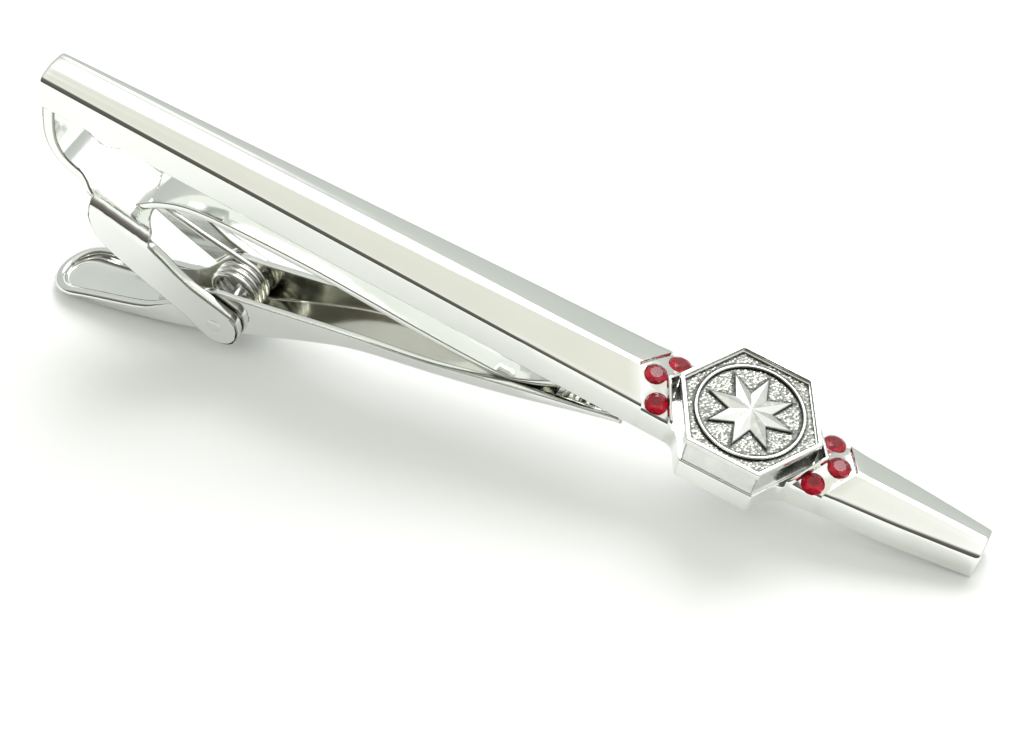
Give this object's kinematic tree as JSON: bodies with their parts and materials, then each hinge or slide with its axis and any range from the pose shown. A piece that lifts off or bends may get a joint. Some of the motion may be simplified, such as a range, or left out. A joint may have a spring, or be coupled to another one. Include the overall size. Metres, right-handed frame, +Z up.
{
  "type": "tie bar",
  "caption": "Tapered metal tie bar with a sprung alligator jaw and thumb lever behind it, a hexagonal relief medallion and small round red stones in V-shaped bands.",
  "frame": {"origin": "the middle of the thumb lever's flat underside, where the part stands on the table", "axes": "+Z up from the table, +X level and towards the bar's tip, +Y away from the near side"},
  "size_m": [0.0615, 0.0076, 0.019],
  "materials": {
    "plated_bar": "polished plating",
    "oxidised_silver": "cast relief, polished high parts and blackened ground",
    "red_stone": "faceted and polished",
    "plated_sheet": "plated sheet, lightly tumbled",
    "steel_pin": "peened ends",
    "spring_steel": "drawn wire"
  },
  "bodies": {
    "jaw": {"jaw_lever": "plated_sheet", "torsion_spring": "spring_steel"},
    "bar": {"front_bar": "plated_bar", "medallion": "oxidised_silver", "stone_rear_near": "red_stone", "stone_rear_apex": "red_stone", "stone_rear_far": "red_stone", "stone_tip_near": "red_stone", "stone_tip_apex": "red_stone", "stone_tip_far": "red_stone", "back_leaf": "plated_sheet", "hinge_bracket": "plated_sheet", "hinge_pin": "steel_pin"}
  },
  "joints": [
    {"name": "jaw_hinge", "type": "hinge", "parent": "jaw", "child": "bar", "pos_m": [0.01158, 0, 0.00282], "axis": [0, -1, 0], "range_deg": [0, 20], "stiffness_Nm_per_rad": 0.05, "springref_deg": -34.38, "deforming": ["torsion_spring"]}
  ]
}
